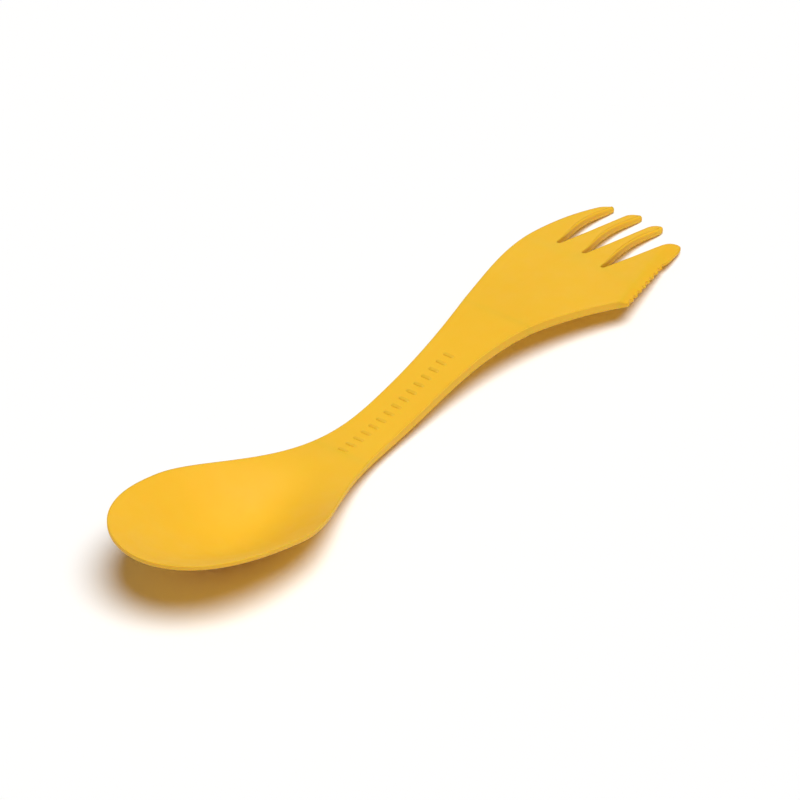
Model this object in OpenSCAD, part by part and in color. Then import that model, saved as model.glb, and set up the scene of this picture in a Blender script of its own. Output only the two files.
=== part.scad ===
// Two-ended spork: a spoon bowl and a four-tined fork on one waisted handle.
// The real object is one moulding. Its working regions are the nodes here, and
// neighbouring regions meet face to face on shared flat cuts, with no overlap.
// Along the part, u runs from the bowl's tip to the tine tips, and v across it.

/* [Overall] */
// Length from the bowl's tip to the longest tine's tip
overall_len = 170; // [155:1:190]

/* [Spoon bowl] */
// Width across the bowl's rim
bowl_w = 38.1; // [34:0.1:44]
// Distance from the bowl's tip to its widest place
bowl_widest = 28; // [22:0.5:31]
// Distance from the bowl's tip to its lowest place
bowl_low = 33; // [31:0.5:38]
// Distance from the bowl's tip to the end of the hollow
bowl_len = 63.5; // [58:0.5:69]
// Height of the rim's top at the bowl's tip
tip_h = 16.2; // [13:0.1:20]
// Wall at the bottom of the bowl
bowl_wall = 1.9; // [1.4:0.1:2.6]
// Height of the thin edge round the rim
rim_t = 1.1; // [0.9:0.1:1.8]

/* [Handle] */
// Distance from the bowl's tip to the lowest place of the handle
neck_at = 70.5; // [69:0.5:77]
// Height of the handle's top at the neck
neck_h = 4.1; // [3.6:0.1:6]
// Distance from the bowl's tip to the narrowest place
waist_at = 85; // [82:0.5:92]
// Width at the narrowest place
waist_w = 11; // [8:0.1:14]
// Distance from the tine tips back to the handle's highest place
crest_back = 54.2; // [49:0.1:59]
// Height of the handle's top at its highest place
crest_h = 8.9; // [6:0.1:12]
// Thickness of the handle
handle_t = 2.2; // [1.6:0.1:2.8]

/* [Fork] */
// Width of the fork on the plain side of the centre line
fork_half = 15.8; // [13:0.1:18]
// Distance from the tine tips back to the fork's widest place on the plain side
widest_back = 21.5; // [17:0.1:24]
// Thickness of the fork where the tines start
fork_t = 1.8; // [1.5:0.1:2.4]
// Thickness of the tine tips
tine_t = 1.5; // [1:0.1:2]
// Length of the longest tine
tine_len = 25; // [21:0.1:28]
// Distance between neighbouring tines
tine_pitch = 6.7; // [6.2:0.1:7.2]
// Width of the slots where they start
slot_w = 0.9; // [0.6:0.1:1.4]
// How far each slot bulges into the tine on its plain side
slot_bulge = 2.1; // [1:0.1:2.4]
// The same for the slot next to the plain side
outer_slot_bulge = 2; // [1:0.1:2.4]
// How far each slot widens towards the cutting edge at the tine tips
slot_open = 2.3; // [1:0.1:2.6]
// The same for the slot next to the cutting edge
last_slot_open = 3.5; // [2.4:0.1:3.8]
// Offset of the middle slot from the centre line
slot_offset = 2.2; // [1.6:0.1:2.8]
// How much further out the other two slots start than the one next to the cutting edge
slot_step = 2.4; // [1:0.1:3]

/* [Cutting edge] */
// Distance from the tine tips back to the corner where the bevel starts
corner_back = 34.2; // [32:0.1:37]
// Distance from the centre line to that corner
corner_out = 16.3; // [14:0.1:18]
// Distance from the tine tips back to the notch at the end of the teeth
notch_back = 12.9; // [11:0.1:15]
// Distance from the centre line to the bevel's inner edge at the notch
bevel_in = 9.4; // [9:0.1:10.4]
// Width of the bevel at the notch
bevel_w = 2.6; // [2:0.1:3.4]
// Thickness of the cutting edge
edge_t = 0.5; // [0.3:0.1:0.8]
// Number of teeth along the cutting edge
teeth = 9; // [6:1:14]
// Depth of a tooth
tooth_d = 0.5; // [0.2:0.1:0.8]

/* [Grip marks] */
// Number of plain raised bars on the handle
marks = 15; // [8:1:16]
// Distance between neighbouring bars
mark_pitch = 2.5; // [2:0.1:2.7]
// Size of a bar along the handle
mark_len = 0.9; // [0.6:0.1:1.4]
// Size of a bar across the handle
mark_w = 2.6; // [1.6:0.1:4]
// Height of a bar
mark_h = 0.2; // [0.1:0.05:0.5]

/* [Hidden] */

plastic = "#f3b92f";

// How round the outline and the section are, chosen by eye from the photograph
bowl_nose_share = 2.6;
bowl_round_share = 0.4;
bowl_back_share = 1.3;
wall_share = 1.5;
rim_share = 1.5;
crest_share = 0.93;
shoulder_share = 1.55;
flare_share = 1.3;
corner_flare_share = 2.5;
fork_fall_share = 1.3;
tine_thin_share = 3;
tine_side_share = 2.2;
bulge_share = 1.5;
lobe_share = 2;
lobe_turn_share = 0.3;

// Share of the outer tine's room that its side comes in by between the widest place and
// its tip, and the shares of their width, from the cutting side, at which the tips stand
outer_in_share = 0.6;
tip_side_share = 0.15;
right_tip_side_share = 0.3;
cutting_tip_side_share = 0.35;

// Width of the small flat at the bowl's tip
tip_flat = 1.2;
// Distance from the end of the hollow to the first grip mark
marks_gap = 0.5;

// Places along u that follow from the sizes above
crest_at = overall_len - crest_back;
root_at = overall_len - tine_len;
widest_at = overall_len - widest_back;
corner_at = overall_len - corner_back;
notch_at = overall_len - notch_back;

// The tips of the four tines, each given by how far it stops short of the longest one
outer_tip_short = 0.9;
right_tip_short = 0.9;
cutting_tip_short = 4.1;
// Length of the pointed start of a slot
slot_point = 0.8;
// The rounding at a tine tip, along the tine
nose_len = 2.6;
cutting_nose_len = 2.4;
// The widest place of the cutting tip, past the bevel's outer edge at the notch
cutting_lobe = 0.6;
// How far the edge's corner stands out from the bevel's inner corner, along and across
corner_along = 2.2;
corner_across = 1.1;
// How far the edge's last tooth leans along u
notch_lean = 0.5;

// Angle at which a rounded tip ends in its small blunt face
blunt = 82;
// How far the bulge of a slot runs through its wave by the tine tips, in degrees
bulge_turn = 150;
// Numbers of steps that the curved shapes are made in
bowl_front_steps = 12;
bowl_middle_steps = 3;
bowl_back_steps = 12;
across_steps = 18;
handle_steps = 18;
fork_steps = 12;
tine_steps = 7;
nose_steps = 6;
lobe_steps = 3;
tine_across_steps = 4;

// A smooth rise from 0 to 1 as t goes from 0 to 1, later for a larger k
function swell(t, k = 1) = (1 - cos(180 * pow(max(0, min(1, t)), k))) / 2;
function mix(a, b, t) = a + (b - a) * t;
function steps(n) = [for (i = [0 : n]) i / n];

// Height of the part's upper edge along u: the rim falls to the neck, the handle rises
// to its crest, and the fork falls to the tips that the part stands on
function side_h(u) =
    u < neck_at ? mix(neck_h, tip_h, swell((neck_at - u) / neck_at)) :
    u < crest_at ? mix(neck_h, crest_h, swell((u - neck_at) / (crest_at - neck_at), crest_share)) :
    mix(crest_h, tine_t, pow(min(1, (u - crest_at) / crest_back), fork_fall_share));

// Half the width up to the fork, the same on both sides
function bowl_share(u) = 1 - pow(max(0, 1 - u / bowl_widest), bowl_nose_share);
function bowl_half(u) =
    u < bowl_widest ? max(tip_flat / 2, bowl_w / 2 * sqrt(bowl_share(u))) :
    mix(waist_w / 2, bowl_w / 2, swell((waist_at - u) / (waist_at - bowl_widest), shoulder_share));

// The plain side's outline, as a positive v
function plain_side(u) =
    u < waist_at ? bowl_half(u) :
    u < widest_at ? mix(waist_w / 2, fork_half,
        swell((u - waist_at) / (widest_at - waist_at), flare_share)) :
    fork_half - (fork_half - slot_offset - tine_pitch) * outer_in_share
        * pow((u - widest_at) / widest_back, tine_side_share);

// The bevel's inner edge, a straight line from the corner through the notch
function bevel_line(u) =
    -mix(corner_out, bevel_in, (u - corner_at) / (notch_at - corner_at));

// The cutting side's outline, as a negative v
function cutting_side(u) =
    u < waist_at ? -bowl_half(u) :
    u < corner_at ? -mix(waist_w / 2, corner_out,
        pow((u - waist_at) / (corner_at - waist_at), corner_flare_share)) :
    bevel_line(u);

// A rise from 0 to 1 like a rounded cone's, nearly straight away from its round start
function rounded(t) =
    (norm([t, bowl_round_share]) - bowl_round_share) / (norm([1, bowl_round_share]) - bowl_round_share);

// Height of the hollow's floor on the centre line
function floor_h(u) =
    u < bowl_low ? mix(bowl_wall, tip_h, rounded(1 - u / bowl_low)) :
    u < bowl_len ? mix(bowl_wall, side_h(u),
        swell((u - bowl_low) / (bowl_len - bowl_low), bowl_back_share)) :
    side_h(u);
function dish(u) = max(0, side_h(u) - floor_h(u));

// Thickness on the centre line and at the edge
function body_t(u) =
    u < bowl_low ? mix(bowl_wall, rim_t, pow(1 - u / bowl_low, wall_share)) :
    u < crest_at ? mix(bowl_wall, handle_t, swell((u - bowl_low) / (neck_at - bowl_low))) :
    u < root_at ? mix(handle_t, fork_t, swell((u - crest_at) / (root_at - crest_at))) :
    mix(fork_t, tine_t, pow(min(1, (u - root_at) / tine_len), tine_thin_share));
function side_t(u) =
    u < crest_at ? mix(rim_t, handle_t, swell((u - bowl_widest) / (waist_at - bowl_widest), rim_share)) :
    body_t(u);

// Height of the upper and lower surface, s running from -1 to 1 across the part
function top_h(u, s) = side_h(u) - dish(u) * (1 - rounded(s));
function under_h(u, s) = top_h(u, s) - mix(body_t(u), side_t(u), pow(abs(s), wall_share));

// A point of the part's frame from its u, v and height: the origin is below the middle
function place(u, v, h) = [u - overall_len / 2, v, h];

// Slots between the tines, i = 1, 0, -1 from the plain side, and their edges: the edge on
// the plain side bulges, and the other one is straight. Up to its start a slot is closed,
// and there the neighbouring tines touch
function slot_from(i) = root_at + (i < 0 ? 0 : slot_step);
function slot_edge(i, side, u) =
    let (t = max(0, (u - slot_from(i)) / (overall_len - slot_from(i))),
         start = slot_w / 2 * max(0, min(1, (u - slot_from(i)) / slot_point)),
         bulge = (i > 0 ? outer_slot_bulge : slot_bulge) * pow(sin(bulge_turn * t), bulge_share),
         open = (i < 0 ? last_slot_open : slot_open) * t)
    slot_offset + i * tine_pitch + (side > 0 ? start + bulge : -start - open);

// A closed solid from rows of points: each row holds its upper points and then as many
// lower ones below them, from one side to the other, and the rows run along u
module lofted(rows) {
    n = len(rows[0]) / 2;
    last = len(rows) - 1;
    points = [for (row = rows, p = row) p];
    function at(i, j) = i * 2 * n + j;
    faces = [
        for (i = [0 : last - 1], j = [0 : n - 2]) each [
            [at(i, j), at(i, j + 1), at(i + 1, j + 1)],
            [at(i, j), at(i + 1, j + 1), at(i + 1, j)],
            [at(i, n + j), at(i + 1, n + j + 1), at(i, n + j + 1)],
            [at(i, n + j), at(i + 1, n + j), at(i + 1, n + j + 1)]
        ],
        for (i = [0 : last - 1]) each [
            [at(i, 0), at(i + 1, 0), at(i + 1, n)],
            [at(i, 0), at(i + 1, n), at(i, n)],
            [at(i, n - 1), at(i, 2 * n - 1), at(i + 1, 2 * n - 1)],
            [at(i, n - 1), at(i + 1, 2 * n - 1), at(i + 1, n - 1)]
        ],
        for (j = [0 : n - 2]) each [
            [at(0, j), at(0, n + j), at(0, n + j + 1), at(0, j + 1)],
            [at(last, j), at(last, j + 1), at(last, n + j + 1), at(last, n + j)]
        ]
    ];
    polyhedron(points = points, faces = faces);
}

// A row across the bowl or the handle at u
function body_row(u) = let (ss = [for (t = steps(across_steps)) 1 - 2 * t]) [
    for (s = ss) place(u, s > 0 ? s * plain_side(u) : -s * cutting_side(u), top_h(u, s)),
    for (s = ss) place(u, s > 0 ? s * plain_side(u) : -s * cutting_side(u), under_h(u, s))
];

// A row of a flat stretch of the fork between two sides
function flat_row(u, from, to) = [
    place(u, from, side_h(u)), place(u, to, side_h(u)),
    place(u, from, side_h(u) - body_t(u)), place(u, to, side_h(u) - body_t(u))
];

// The dished shell, closer steps near the tip where the outline turns fastest
module spoon_bowl() {
    front = [for (t = steps(bowl_front_steps)) bowl_widest * (1 - cos(90 * t))];
    middle = [for (i = [1 : bowl_middle_steps]) mix(bowl_widest, bowl_low, i / bowl_middle_steps)];
    back = [for (i = [1 : bowl_back_steps]) mix(bowl_low, bowl_len, i / bowl_back_steps)];
    color(plastic) lofted([for (u = concat(front, middle, back)) body_row(u)]);
}

// The bar between the hollow's end and the handle's crest
module handle() {
    color(plastic) lofted([for (t = steps(handle_steps)) body_row(mix(bowl_len, crest_at, t))]);
}

// Plain bars on the handle's flat top, seated on it over their whole foot
module grip_marks() {
    color(plastic) for (i = [0 : marks - 1]) {
        u0 = bowl_len + marks_gap + i * mark_pitch;
        u1 = u0 + mark_len;
        lofted([for (u = [u0, u1]) [
            for (v = [mark_w / 2, -mark_w / 2]) place(u, v, side_h(u) + mark_h),
            for (v = [mark_w / 2, -mark_w / 2]) place(u, v, side_h(u))
        ]]);
    }
}

// The flared plate from the crest to where the tines start
module fork_plate() {
    before = [for (t = steps(fork_steps)) mix(crest_at, corner_at, t)];
    after = [for (t = [1 : fork_steps]) mix(corner_at, root_at, t / fork_steps)];
    color(plastic) lofted([for (u = concat(before, after)) flat_row(u, plain_side(u), cutting_side(u))]);
}

// Stations along a tine: the starts of the slots, even steps, and closer ones round its nose
function start_us() = [root_at, root_at + slot_point, root_at + slot_step];
function even_us(to) = [for (t = steps(tine_steps)) mix(root_at + slot_step + slot_point, to, t)];
function tine_us(tip, nose) = concat(start_us(), even_us(tip - nose),
    [for (i = [1 : nose_steps]) tip - nose + nose * sin(blunt * i / nose_steps) / sin(blunt)]);
// Share of the full width that is left at u in a tine's nose
function nose_share(u, tip, nose) =
    u <= tip - nose ? 1 : cos(asin(min(1, (u - tip + nose) / nose) * sin(blunt)));

// The two sides of a tine at u, drawn together in its nose towards a share of their width
function drawn_in(from, to, share, left) =
    let (middle = mix(to, from, share)) [mix(middle, from, left), mix(middle, to, left)];

// A tine between two sides, given at each station as a pair
module tine(us, sides, tip, share) {
    color(plastic) lofted([for (i = [0 : len(us) - 1])
        let (pair = drawn_in(sides[i][0], sides[i][1], share, nose_share(us[i], tip, nose_len)))
        flat_row(us[i], pair[0], pair[1])]);
}

module outer_tine() {
    tip = overall_len - outer_tip_short;
    us = tine_us(tip, nose_len);
    tine(us, [for (u = us) [plain_side(u), slot_edge(1, 1, u)]], tip, tip_side_share);
}

module left_middle_tine() {
    us = tine_us(overall_len, nose_len);
    tine(us, [for (u = us) [slot_edge(1, -1, u), slot_edge(0, 1, u)]], overall_len, tip_side_share);
}

module right_middle_tine() {
    tip = overall_len - right_tip_short;
    us = tine_us(tip, nose_len);
    tine(us, [for (u = us) [slot_edge(0, -1, u), slot_edge(-1, 1, u)]], tip, right_tip_side_share);
}

// The outer edge of the bevel along the teeth, without them: t runs from the corner
// to the notch
function edge_in(t) = [mix(corner_at, notch_at, t), -mix(corner_out, bevel_in, t)];
function edge_out(t) = [
    mix(corner_at + corner_along, notch_at + notch_lean, t),
    -mix(corner_out + corner_across, bevel_in + bevel_w, t)
];
// The bevel's upper surface: full height at its inner edge, thin at its outer edge
function edge_h(u) = side_h(u) - body_t(u) + edge_t;

// The fourth tine: flat between the slot and the bevel's inner edge up to the notch, and
// past it a rounded tip that the bevel runs over
module cutting_tine() {
    tip = overall_len - cutting_tip_short;
    nose_at = tip - cutting_nose_len;
    lobe_at = notch_at + notch_lean;
    lobe_out = -(bevel_in + bevel_w);
    shaft = concat(start_us(), even_us(notch_at));
    lobe = concat([for (t = steps(lobe_steps)) mix(lobe_at, nose_at, t)],
        [for (i = [1 : nose_steps]) nose_at + cutting_nose_len * sin(blunt * i / nose_steps) / sin(blunt)]);
    function lobe_side(u) = lobe_out + (u - lobe_at) * lobe_turn_share
        - cutting_lobe * (1 - pow(1 - (u - lobe_at) / (tip - lobe_at), lobe_share));
    function bevelled(u, v) =
        let (depth = max(0, min(1, (bevel_line(u) - v) / bevel_w)))
        mix(side_h(u), edge_h(u), depth);
    color(plastic) lofted([
        for (u = shaft) let (a = slot_edge(-1, -1, u), b = bevel_line(u)) [
            for (t = steps(tine_across_steps)) place(u, mix(a, b, t), side_h(u)),
            for (t = steps(tine_across_steps)) place(u, mix(a, b, t), side_h(u) - body_t(u))
        ],
        for (u = lobe)
            let (left = nose_share(u, tip, cutting_nose_len),
                 pair = drawn_in(slot_edge(-1, -1, u), lobe_side(u), cutting_tip_side_share, left),
                 vs = [for (t = steps(tine_across_steps)) mix(pair[0], pair[1], t)])
            [for (v = vs) place(u, v, bevelled(u, v)),
             for (v = vs) place(u, v, side_h(u) - body_t(u))]
    ]);
}

// The toothed bevel along the fork's side. Its first face carries on the plate's side
// wall, and its last one meets the cutting tine's tip
module cutting_edge() {
    tooth_shares = [0, 0.55, 1, 0.55];
    parts = len(tooth_shares);
    way = edge_out(1) - edge_out(0);
    out = [way[1], -way[0]] / norm(way);
    color(plastic) lofted([for (i = [0 : teeth * parts])
        let (t = i / (teeth * parts),
             a = edge_in(t),
             b = edge_out(t) - out * tooth_d * tooth_shares[i % parts])
        [place(a[0], a[1], side_h(a[0])), place(b[0], b[1], edge_h(b[0])),
         place(a[0], a[1], side_h(a[0]) - body_t(a[0])),
         place(b[0], b[1], side_h(b[0]) - body_t(b[0]))]]);
}

spoon_bowl();
handle();
grip_marks();
fork_plate();
outer_tine();
left_middle_tine();
right_middle_tine();
cutting_tine();
cutting_edge();
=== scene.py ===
"""The looks of a two-ended moulded spork: its skin, grip bars, plastic, floor, lights and camera.

Lengths are in millimetres up to the meshes, which are in metres. Along the part, u runs from the
bowl's tip to the tine tips. Across it, v is positive on the fork's plain side.
"""

import logging
from dataclasses import dataclass, field
from enum import Enum

import bpy
import numpy as np
from mathutils import Matrix, Vector


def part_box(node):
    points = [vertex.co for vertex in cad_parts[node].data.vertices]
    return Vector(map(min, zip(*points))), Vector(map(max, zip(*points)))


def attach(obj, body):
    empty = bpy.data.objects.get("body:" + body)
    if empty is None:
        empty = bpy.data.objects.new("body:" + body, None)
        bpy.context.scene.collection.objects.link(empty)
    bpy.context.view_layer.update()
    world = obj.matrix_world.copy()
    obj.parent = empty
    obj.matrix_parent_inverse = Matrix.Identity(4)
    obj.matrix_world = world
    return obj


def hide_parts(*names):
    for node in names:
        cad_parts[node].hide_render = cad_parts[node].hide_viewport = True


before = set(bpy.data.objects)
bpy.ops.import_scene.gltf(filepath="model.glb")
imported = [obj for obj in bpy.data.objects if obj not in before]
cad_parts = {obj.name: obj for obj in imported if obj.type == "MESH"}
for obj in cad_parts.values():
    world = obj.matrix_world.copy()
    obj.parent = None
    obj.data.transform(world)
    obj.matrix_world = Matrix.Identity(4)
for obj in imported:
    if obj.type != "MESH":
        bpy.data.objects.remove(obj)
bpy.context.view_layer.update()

MM = 0.001
BODY = "root"
# Name of the point attribute that holds the share of the bevel's painted shade.
BEVEL_SHADE = "bevel"

# Places closer than CLOSE, in millimetres, count as one, and TINY keeps a divisor above 0. Rows are
# rounded to DECIMALS places and lie more than LEAST_GAP apart.
CLOSE = 1e-6
TINY = 1e-12
DECIMALS = 4
LEAST_GAP = 1e-3

Values = float | np.ndarray

log = logging.getLogger("spork")


def mix(a: Values, b: Values, t: Values) -> Values:
    """A value between a and b, a at t = 0 and b at t = 1."""
    return a + (b - a) * t


def part_way(u: np.ndarray, start: float, end: float) -> np.ndarray:
    """How far u is on the way from start to end: 0 up to the start and 1 past the end."""
    return np.clip((u - start) / (end - start), 0, 1)


def swell(t: np.ndarray, power: float = 1.0) -> np.ndarray:
    """A smooth rise from 0 to 1: half of one minus the cosine of 180 degrees times t to a power."""
    return (1 - np.cos(np.pi * np.clip(t, 0, 1) ** power)) / 2


def soft_positive(x: np.ndarray, softness: float) -> np.ndarray:
    """x where it is positive and 0 where it is negative, rounded over about softness at 0."""
    return (x + np.sqrt(x * x + softness * softness)) / 2


def unit(vectors: np.ndarray) -> np.ndarray:
    """The vectors in an array's rows, each divided by its length."""
    return vectors / np.maximum(np.linalg.norm(vectors, axis=1), TINY)[:, None]


class Side(Enum):
    """The two edges of a tine."""

    LEFT = "plain side"
    RIGHT = "cutting side"


@dataclass(frozen=True)
class SporkForm:
    """The part's sizes in millimetres, and its outline and surfaces as functions of u and v.

    A size named back is a distance from the tine tips. One named power is an exponent on a share
    of the way along or across.
    """

    length: float
    bowl_width: float
    bowl_end: float
    tip_height: float
    crest_at: float
    root_at: float
    bowl_widest: float = 28.0
    bowl_low: float = 33.0
    bowl_wall: float = 1.9
    rim_thickness: float = 1.1
    wall_power: float = 1.5
    bowl_roundness: float = 0.4
    nose_power: float = 2.6
    shoulder_power: float = 1.55
    hollow_end_power: float = 1.3
    neck_at: float = 70.5
    neck_height: float = 4.1
    waist_at: float = 85.0
    waist_width: float = 11.0
    crest_height: float = 8.9
    rise_power: float = 0.93
    fall_power: float = 1.3
    handle_thickness: float = 2.2
    fork_half: float = 15.8
    widest_back: float = 21.5
    flare_power: float = 1.3
    taper_power: float = 2.2
    cutting_flare_power: float = 2.5
    fork_thickness: float = 1.8
    tine_thickness: float = 1.5
    thinning_power: float = 3.0
    tine_pitch: float = 6.7
    slot_width: float = 0.9
    slot_bulges: tuple[float, float, float] = (2.0, 2.1, 2.1)
    bulge_turn: float = 150.0
    bulge_power: float = 1.5
    slot_opens: tuple[float, float, float] = (2.3, 2.3, 3.5)
    slot_steps: tuple[float, float, float] = (2.4, 2.4, 0.0)
    slot_offset: float = 2.2
    corner_back: float = 34.2
    corner_out: float = 16.3
    corner_along: float = 2.2
    corner_across: float = 1.1
    notch_back: float = 12.9
    notch_lean: float = 0.5
    bevel_in: float = 9.4
    bevel_width: float = 2.6
    bevel_start_width: float = 1.72
    bevel_fade_power: float = 4.0
    # How fast the bevel's painted shade comes in past the bevel's inner edge.
    bevel_shade_rise: float = 4.0
    edge_thickness: float = 0.5
    teeth: int = 9
    tooth_depth: float = 0.5
    outer_in_share: float = 0.6
    lobe_bulge: float = 0.6
    lobe_turn: float = 0.3
    tip_shorts: tuple[float, float, float, float] = (0.9, 0.0, 0.9, 4.1)
    nose_lengths: tuple[float, float, float, float] = (2.6, 2.6, 2.6, 2.4)
    tip_side_shares: tuple[float, float, float, float] = (0.15, 0.15, 0.3, 0.35)
    root_inset: float = 0.3
    crease: float = 0.25
    corner_softness: float = 0.3
    edge_fade: float = 1.5
    tine_rounding_length: float = 10.0

    @classmethod
    def from_frame(cls) -> "SporkForm":
        """The form with its driving sizes read from the CAD nodes' boxes.

        Returns:
            The sizes of the skin, in millimetres.
        """
        bowl_low, bowl_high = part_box("spoon_bowl")
        tip = bowl_low.x
        return cls(
            length=(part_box("left_middle_tine")[1].x - tip) / MM,
            bowl_width=(bowl_high.y - bowl_low.y) / MM,
            bowl_end=(bowl_high.x - tip) / MM,
            tip_height=bowl_high.z / MM,
            crest_at=(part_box("handle")[1].x - tip) / MM,
            root_at=(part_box("fork_plate")[1].x - tip) / MM,
        )

    @property
    def corner_at(self) -> float:
        """Where the bevel starts along u."""
        return self.length - self.corner_back

    @property
    def notch_at(self) -> float:
        """Where the bevel's inner edge ends along u."""
        return self.length - self.notch_back

    @property
    def widest_at(self) -> float:
        """Where the fork is widest on the plain side."""
        return self.length - self.widest_back

    @property
    def teeth_start(self) -> float:
        """Where the first tooth starts along u, past the corner's short face."""
        return self.corner_at + self.corner_along

    @property
    def teeth_end(self) -> float:
        """Where the last tooth ends along u."""
        return self.notch_at + self.notch_lean

    def tip_at(self, tine: int) -> float:
        """Where a tine ends along u."""
        return self.length - self.tip_shorts[tine]

    def slot_v(self, slot: int) -> float:
        """The v at which a slot starts."""
        return self.slot_offset + (1 - slot) * self.tine_pitch

    def slot_start(self, slot: int) -> float:
        """The u of the last row that runs past a slot unbroken."""
        return self.root_at + self.slot_steps[slot]

    def slot_apex(self, slot: int) -> float:
        """The u of a slot's rounded root."""
        return self.slot_start(slot) + self.root_inset

    def side_height(self, u: np.ndarray) -> np.ndarray:
        """Height of the upper edge: swells from the tip down to the neck, up to the crest, and then
        falls as a power of the distance from the crest.

        Args:
            u: places along the part.

        Returns:
            The height at each place.
        """
        rim = mix(self.neck_height, self.tip_height, swell(part_way(u, self.neck_at, 0)))
        rise = mix(self.neck_height, self.crest_height,
                   swell(part_way(u, self.neck_at, self.crest_at), self.rise_power))
        fall = mix(self.crest_height, self.tine_thickness,
                   part_way(u, self.crest_at, self.length) ** self.fall_power)
        return np.select([u < self.neck_at, u < self.crest_at], [rim, rise], fall)

    def bowl_half(self, u: np.ndarray) -> np.ndarray:
        """Half the width up to the waist: a superellipse's quarter to the widest place, then a swell.

        Args:
            u: places along the part.

        Returns:
            Half the width at each place.
        """
        front = np.sqrt(1 - part_way(u, self.bowl_widest, 0) ** self.nose_power)
        shoulder = swell(part_way(u, self.waist_at, self.bowl_widest), self.shoulder_power)
        return np.where(u < self.bowl_widest, self.bowl_width / 2 * front,
                        mix(self.waist_width / 2, self.bowl_width / 2, shoulder))

    def plain_side(self, u: np.ndarray) -> np.ndarray:
        """The outline's v on the plain side: the bowl, a swell out to the fork's widest place, and a
        power of the distance from there drawn in.

        Args:
            u: places along the part.

        Returns:
            The side's v at each place.
        """
        flare = swell(part_way(u, self.waist_at, self.widest_at), self.flare_power)
        taper = part_way(u, self.widest_at, self.length) ** self.taper_power
        outer_in = (self.fork_half - self.slot_v(0)) * self.outer_in_share
        return np.select([u < self.waist_at, u < self.widest_at],
                         [self.bowl_half(u), mix(self.waist_width / 2, self.fork_half, flare)],
                         self.fork_half - outer_in * taper)

    def bevel_line(self, u: np.ndarray) -> np.ndarray:
        """The v of the bevel's straight inner edge."""
        share = (u - self.corner_at) / (self.notch_at - self.corner_at)
        return -mix(self.corner_out, self.bevel_in, share)

    def tooth_line(self, u: np.ndarray) -> np.ndarray:
        """How far out the straight line lies that the teeth stand on."""
        share = (u - self.teeth_start) / (self.teeth_end - self.teeth_start)
        return mix(self.corner_out + self.corner_across, self.bevel_in + self.bevel_width, share)

    def cutting_side(self, u: np.ndarray) -> np.ndarray:
        """The outline's v on the cutting side: the flare, the short face at the corner, the toothed
        line with a triangular wave taken off, and the lobe of the last tine.

        Args:
            u: places along the part.

        Returns:
            The side's v at each place, negative.
        """
        flare = mix(self.waist_width / 2, self.corner_out,
                    part_way(u, self.waist_at, self.corner_at) ** self.cutting_flare_power)
        face = self.corner_out + self.corner_across * (u - self.corner_at) / self.corner_along
        rising = np.where(u < self.corner_at, flare, face)
        phase = self.teeth * part_way(u, self.teeth_start, self.teeth_end)
        tooth = 1 - np.abs(2 * (phase % 1) - 1)
        line = self.tooth_line(u)
        edge = (rising + line - np.sqrt((rising - line) ** 2 + self.corner_softness ** 2)) / 2
        along = part_way(u, self.teeth_end, self.tip_at(3))
        lobe = (self.bevel_in + self.bevel_width + self.lobe_bulge * (1 - (1 - along) ** 2)
                - self.lobe_turn * (u - self.teeth_end))
        return -np.select([u < self.waist_at, u < self.teeth_end],
                          [self.bowl_half(u), edge - self.tooth_depth * tooth], lobe)

    def slot_edge(self, slot: int, side: Side, u: np.ndarray) -> np.ndarray:
        """The v of one edge of a slot: half its width, drawn in on a circle at its root, plus a
        bulge, a sine to a power, on the plain side's edge, or a straight opening on the other.

        Args:
            slot: 0 to 2 from the plain side.
            side: LEFT for the edge that the next tine's left side takes, RIGHT for the other.
            u: places along the part.

        Returns:
            The edge's v at each u.
        """
        apex = self.slot_apex(slot)
        radius = self.slot_width / 2
        inside = np.clip(u - apex, 0, radius)
        half = np.sqrt(np.clip(radius ** 2 - (radius - inside) ** 2, 0, None))
        share = np.clip((u - apex) / (self.length - apex), 0, None)
        if side is Side.RIGHT:
            wave = np.clip(np.sin(np.radians(self.bulge_turn) * share), 0, None) ** self.bulge_power
            return self.slot_v(slot) + half + self.slot_bulges[slot] * wave
        return self.slot_v(slot) - half - self.slot_opens[slot] * share

    def tine_side(self, tine: int, side: Side, u: np.ndarray) -> np.ndarray:
        """The v of a tine's side, drawn in on an ellipse in its nose to a share of the tine's width.

        Args:
            tine: 0 to 3 from the plain side.
            side: which of its two sides.
            u: places along the part.

        Returns:
            The side's v at each u.
        """
        left = self.plain_side(u) if tine == 0 else self.slot_edge(tine - 1, Side.LEFT, u)
        right = self.cutting_side(u) if tine == 3 else self.slot_edge(tine, Side.RIGHT, u)
        tip = self.tip_at(tine)
        into = part_way(u, tip - self.nose_lengths[tine], tip)
        middle = mix(right, left, self.tip_side_shares[tine])
        return mix(middle, left if side is Side.LEFT else right, np.sqrt(1 - into ** 2))

    def body_thickness(self, u: np.ndarray) -> np.ndarray:
        """Thickness on the centre line: up to the bowl's lowest place a power of the distance from
        it, then swells to the handle's and the fork's, and a power along the tines.

        Args:
            u: places along the part.

        Returns:
            The thickness at each place.
        """
        nose = mix(self.bowl_wall, self.rim_thickness, part_way(u, self.bowl_low, 0) ** self.wall_power)
        bowl = mix(self.bowl_wall, self.handle_thickness, swell(part_way(u, self.bowl_low, self.neck_at)))
        plate = mix(self.handle_thickness, self.fork_thickness,
                    swell(part_way(u, self.crest_at, self.root_at)))
        tine = mix(self.fork_thickness, self.tine_thickness,
                   part_way(u, self.root_at, self.length) ** self.thinning_power)
        return np.select([u < self.bowl_low, u < self.crest_at, u < self.root_at],
                         [nose, bowl, plate], tine)

    def side_thickness(self, u: np.ndarray) -> np.ndarray:
        """Thickness at the edge: the rim's, a swell from it to the handle's, then the body's.

        Args:
            u: places along the part.

        Returns:
            The thickness at each place.
        """
        rim = mix(self.rim_thickness, self.handle_thickness,
                  swell(part_way(u, self.bowl_widest, self.waist_at), self.wall_power))
        return np.where(u < self.crest_at, rim, self.body_thickness(u))

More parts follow.
